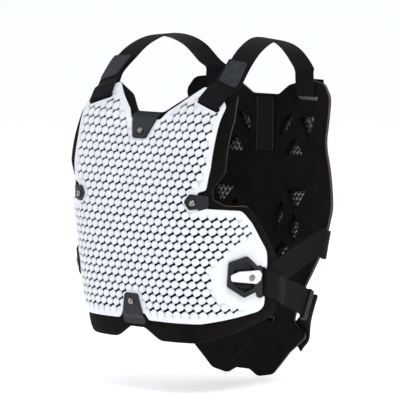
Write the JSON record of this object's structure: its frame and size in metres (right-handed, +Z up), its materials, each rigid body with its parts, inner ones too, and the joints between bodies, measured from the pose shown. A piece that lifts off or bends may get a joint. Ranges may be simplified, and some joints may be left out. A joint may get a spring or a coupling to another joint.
{
  "type": "chest protector",
  "caption": "Moulded vented chest plate and back plate on padded backing, joined by webbing straps over the shoulders and in a V at the sides, with hexagonal side buckles.",
  "frame": {"origin": "midway between the shoulders, level with the underside of the shoulder straps where they rest", "axes": "+Z up, -Y to the front of the wearer, +X to the wearer's left"},
  "size_m": [0.334, 0.3166, 0.4989],
  "materials": {
    "pad_cloth": "matte air mesh over foam",
    "white_shell": "moulded, satin gloss",
    "tab_rubber": "smooth satin",
    "rivet_metal": "darkened steel",
    "black_webbing": "woven elastic webbing",
    "patch_grey": "soft moulded patch",
    "cell_plate": "glossy cells",
    "buckle_plastic": "moulded acetal",
    "label_cloth": "woven, left blank"
  },
  "bodies": {
    "root": {"front_pad": "pad_cloth", "front_shell": "white_shell", "neck_tab": "tab_rubber", "hem_tab": "tab_rubber", "arm_tab_left": "tab_rubber", "arm_tab_right": "tab_rubber", "neck_rivet": "rivet_metal", "hem_rivet": "rivet_metal", "arm_rivet_left": "rivet_metal", "arm_rivet_right": "rivet_metal", "buckle_ring_left": "buckle_plastic", "buckle_ring_right": "buckle_plastic", "buckle_tongue_left": "white_shell", "buckle_tongue_right": "white_shell", "tongue_rivet_left": "rivet_metal", "tongue_rivet_right": "rivet_metal", "back_pad": "pad_cloth", "back_insert": "cell_plate", "back_shell": "white_shell", "label": "label_cloth", "shoulder_strap_left": "black_webbing", "shoulder_strap_right": "black_webbing", "strap_patch_left": "patch_grey", "strap_patch_right": "patch_grey", "side_strap_left": "black_webbing", "side_strap_right": "black_webbing", "slider_left": "buckle_plastic", "slider_right": "buckle_plastic"}
  },
  "joints": []
}
